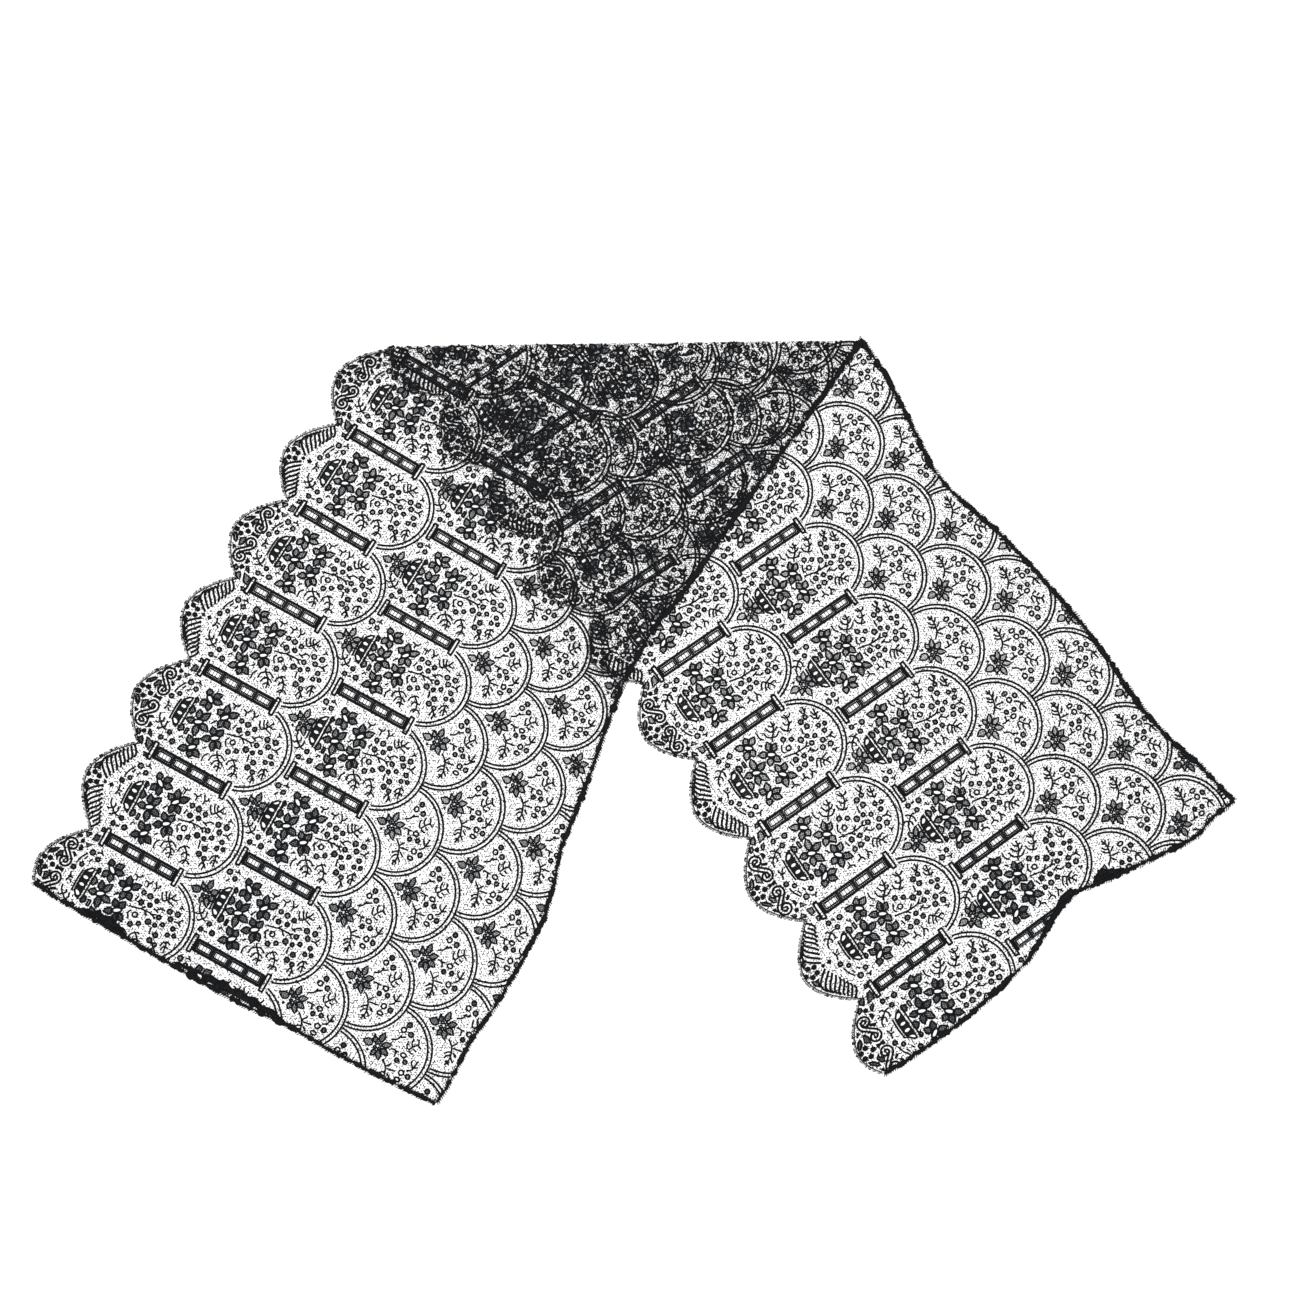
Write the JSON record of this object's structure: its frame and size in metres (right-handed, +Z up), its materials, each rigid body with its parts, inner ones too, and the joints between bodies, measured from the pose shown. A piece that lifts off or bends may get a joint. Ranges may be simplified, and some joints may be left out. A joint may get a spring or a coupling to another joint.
{
  "type": "lace mantilla folded once and laid flat",
  "caption": "Long strip of black lace with a scalloped border and rolled hems, folded once across its middle and laid flat in an inverted V.",
  "frame": {"origin": "middle of the bounding box, on the surface that the lace lies on", "axes": "+X along the longest way of the laid lace, to the right as it is looked down on; +Y from the two loose ends towards the fold; +Z up from the surface"},
  "size_m": [1.2675, 0.8056, 0.0041],
  "materials": {
    "black_lace": "matt black machine lace of fine dull thread",
    "rolled_lace": "matt black lace rolled and whipped into a narrow hem"
  },
  "bodies": {
    "root": {"upper_fall": "black_lace", "lower_fall": "black_lace", "upper_head_hem": "rolled_lace", "lower_head_hem": "rolled_lace", "upper_end_hem": "rolled_lace", "lower_end_hem": "rolled_lace"}
  },
  "joints": []
}
